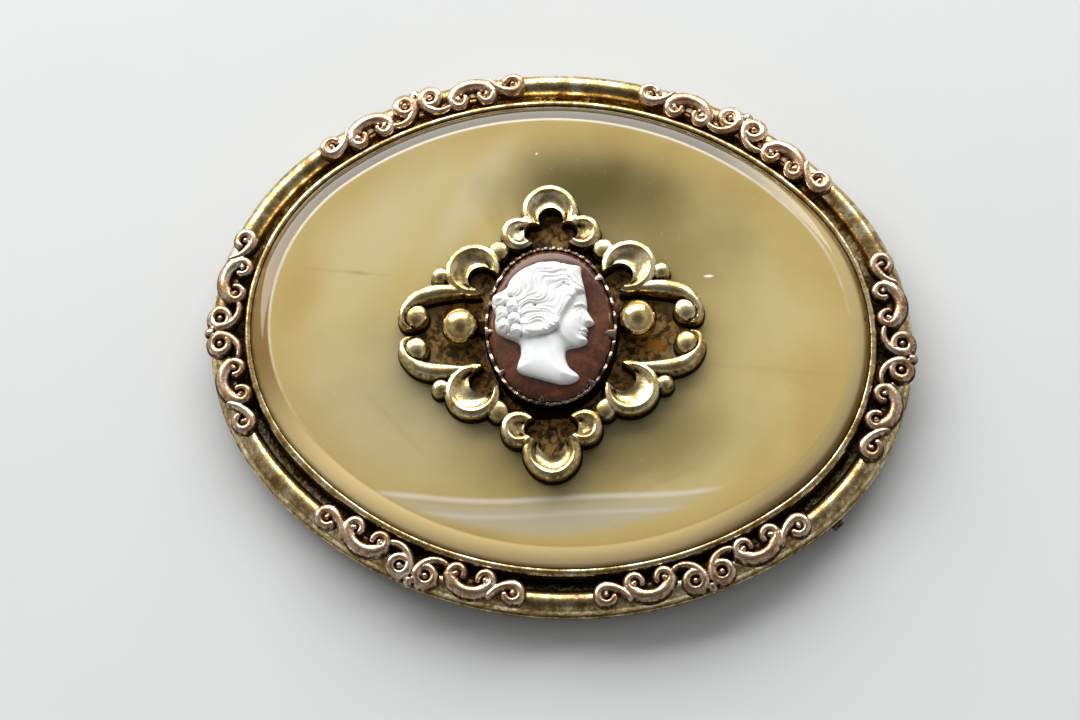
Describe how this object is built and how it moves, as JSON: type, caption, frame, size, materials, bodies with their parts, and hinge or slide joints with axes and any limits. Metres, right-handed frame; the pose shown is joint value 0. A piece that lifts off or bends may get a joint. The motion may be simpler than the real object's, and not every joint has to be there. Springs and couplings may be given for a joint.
{
  "type": "cameo brooch",
  "caption": "Oval brooch with an agate panel in a gold frame, rose gold scrolls on its edge and a small bust cameo in a pierced gold mount; a pin on the back fastens it.",
  "frame": {"origin": "middle of the brooch's outline, at the level of the surface it lies on: the feet of its hinge and catch", "axes": "+X along the long axis of the oval towards the catch, +Y up the cameo's bust, +Z out of the face of the brooch"},
  "size_m": [0.0539, 0.0436, 0.0076],
  "materials": {
    "gold": "polished yellow gold, worn and tarnished in the hollows",
    "rose_gold": "chased rose gold",
    "agate": "polished translucent honey-grey agate",
    "cameo_brown": "glossy dark red-brown layer of the cameo stone",
    "cameo_white": "white carved layer of the cameo stone, smooth"
  },
  "bodies": {
    "root": {"frame": "gold", "agate": "agate", "openwork_mount": "gold", "cameo_ground": "cameo_brown", "cameo_bust": "cameo_white", "pin": "gold", "scroll_right": "rose_gold", "scroll_upper_right": "rose_gold", "scroll_upper_left": "rose_gold", "scroll_left": "rose_gold", "scroll_lower_left": "rose_gold", "scroll_lower_right": "rose_gold"}
  },
  "joints": []
}
